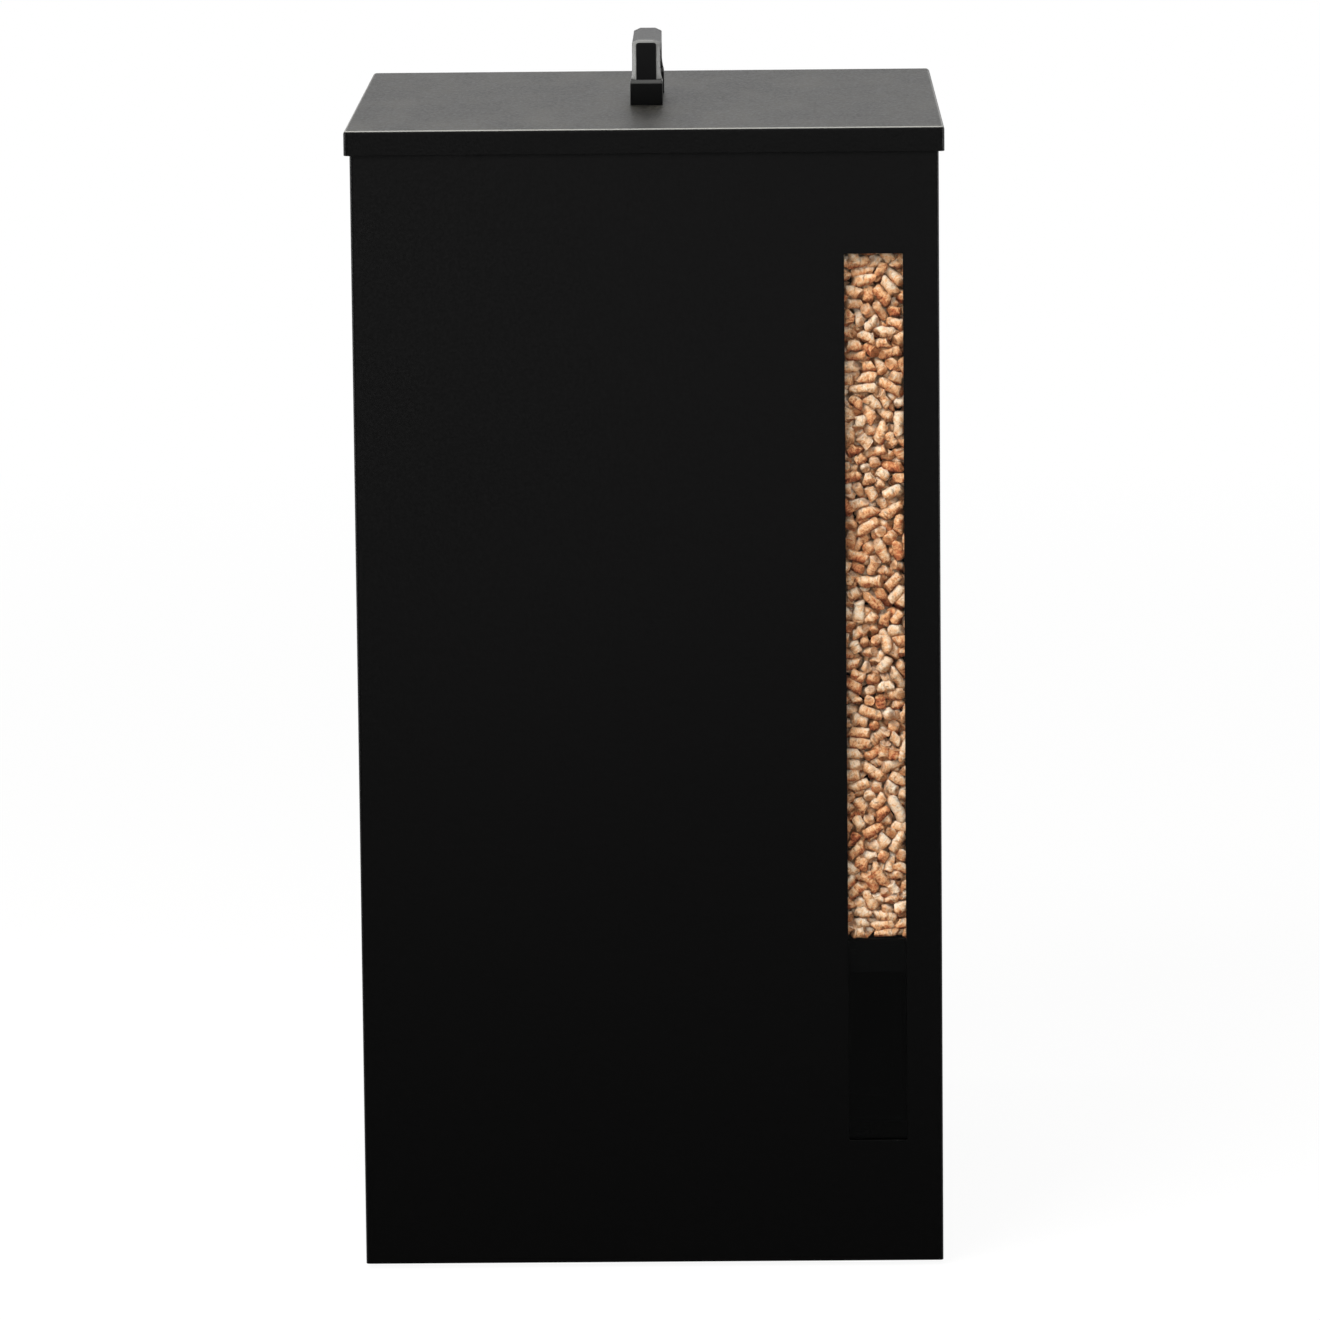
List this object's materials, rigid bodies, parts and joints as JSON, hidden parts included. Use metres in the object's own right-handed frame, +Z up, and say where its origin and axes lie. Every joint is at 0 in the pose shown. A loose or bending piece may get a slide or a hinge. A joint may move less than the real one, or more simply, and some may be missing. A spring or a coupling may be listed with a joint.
{
  "type": "pellet storage bin",
  "caption": "Tall upright sheet-steel bin for wood pellets with a lift-off cap lid, a bow handle, a narrow sight window and a raised inner floor.",
  "frame": {"origin": "on the floor under the middle of the bin", "axes": "+Z up, front of the bin towards -Y, sight window on the +X side of the front"},
  "size_m": [0.3568, 0.4068, 0.732],
  "materials": {
    "powder_coat": "matt black powder coat with a fine grain",
    "black_plastic": "satin moulded black",
    "clear_acrylic": "clear acrylic sheet",
    "black_rubber": "matt black rubber strip",
    "zinc_steel": "zinc plated",
    "wood_pellets": "pressed wood pellets, dry and matt"
  },
  "bodies": {
    "bin": {"body_wrap": "powder_coat", "back_panel": "powder_coat", "rim_frame": "powder_coat", "rear_corner_angle_left": "powder_coat", "rear_corner_angle_right": "powder_coat", "base_pan": "powder_coat", "floor_shelf": "powder_coat", "shelf_rail_left": "powder_coat", "shelf_rail_right": "powder_coat", "window_pane": "clear_acrylic", "window_gasket": "black_rubber", "window_frame": "zinc_steel", "pellet_fill": "wood_pellets", "glide_front_left": "black_plastic", "glide_front_right": "black_plastic", "glide_rear_left": "black_plastic", "glide_rear_right": "black_plastic", "back_rivet_1": "zinc_steel", "back_rivet_2": "zinc_steel", "back_rivet_3": "zinc_steel", "back_rivet_4": "zinc_steel", "back_rivet_5": "zinc_steel", "back_rivet_6": "zinc_steel", "back_rivet_7": "zinc_steel", "back_rivet_8": "zinc_steel", "frame_stud_1": "zinc_steel", "frame_stud_2": "zinc_steel", "frame_stud_3": "zinc_steel", "frame_stud_4": "zinc_steel", "frame_stud_5": "zinc_steel", "frame_stud_6": "zinc_steel", "frame_stud_7": "zinc_steel", "frame_stud_8": "zinc_steel", "frame_nut_1": "zinc_steel", "frame_nut_2": "zinc_steel", "frame_nut_3": "zinc_steel", "frame_nut_4": "zinc_steel", "frame_nut_5": "zinc_steel", "frame_nut_6": "zinc_steel", "frame_nut_7": "zinc_steel", "frame_nut_8": "zinc_steel"},
    "lid": {"lid_pan": "powder_coat", "lid_seal": "black_rubber", "handle_bow": "black_plastic", "handle_collar_front": "black_plastic", "handle_collar_rear": "black_plastic", "handle_backing_plate": "zinc_steel", "handle_washer_front": "zinc_steel", "handle_washer_rear": "zinc_steel", "handle_screw_front": "zinc_steel", "handle_screw_rear": "zinc_steel"}
  },
  "joints": [
    {"name": "lid_lift", "type": "slide", "parent": "bin", "child": "lid", "axis": [0, 0, 1], "range_m": [0, 0.3]}
  ]
}
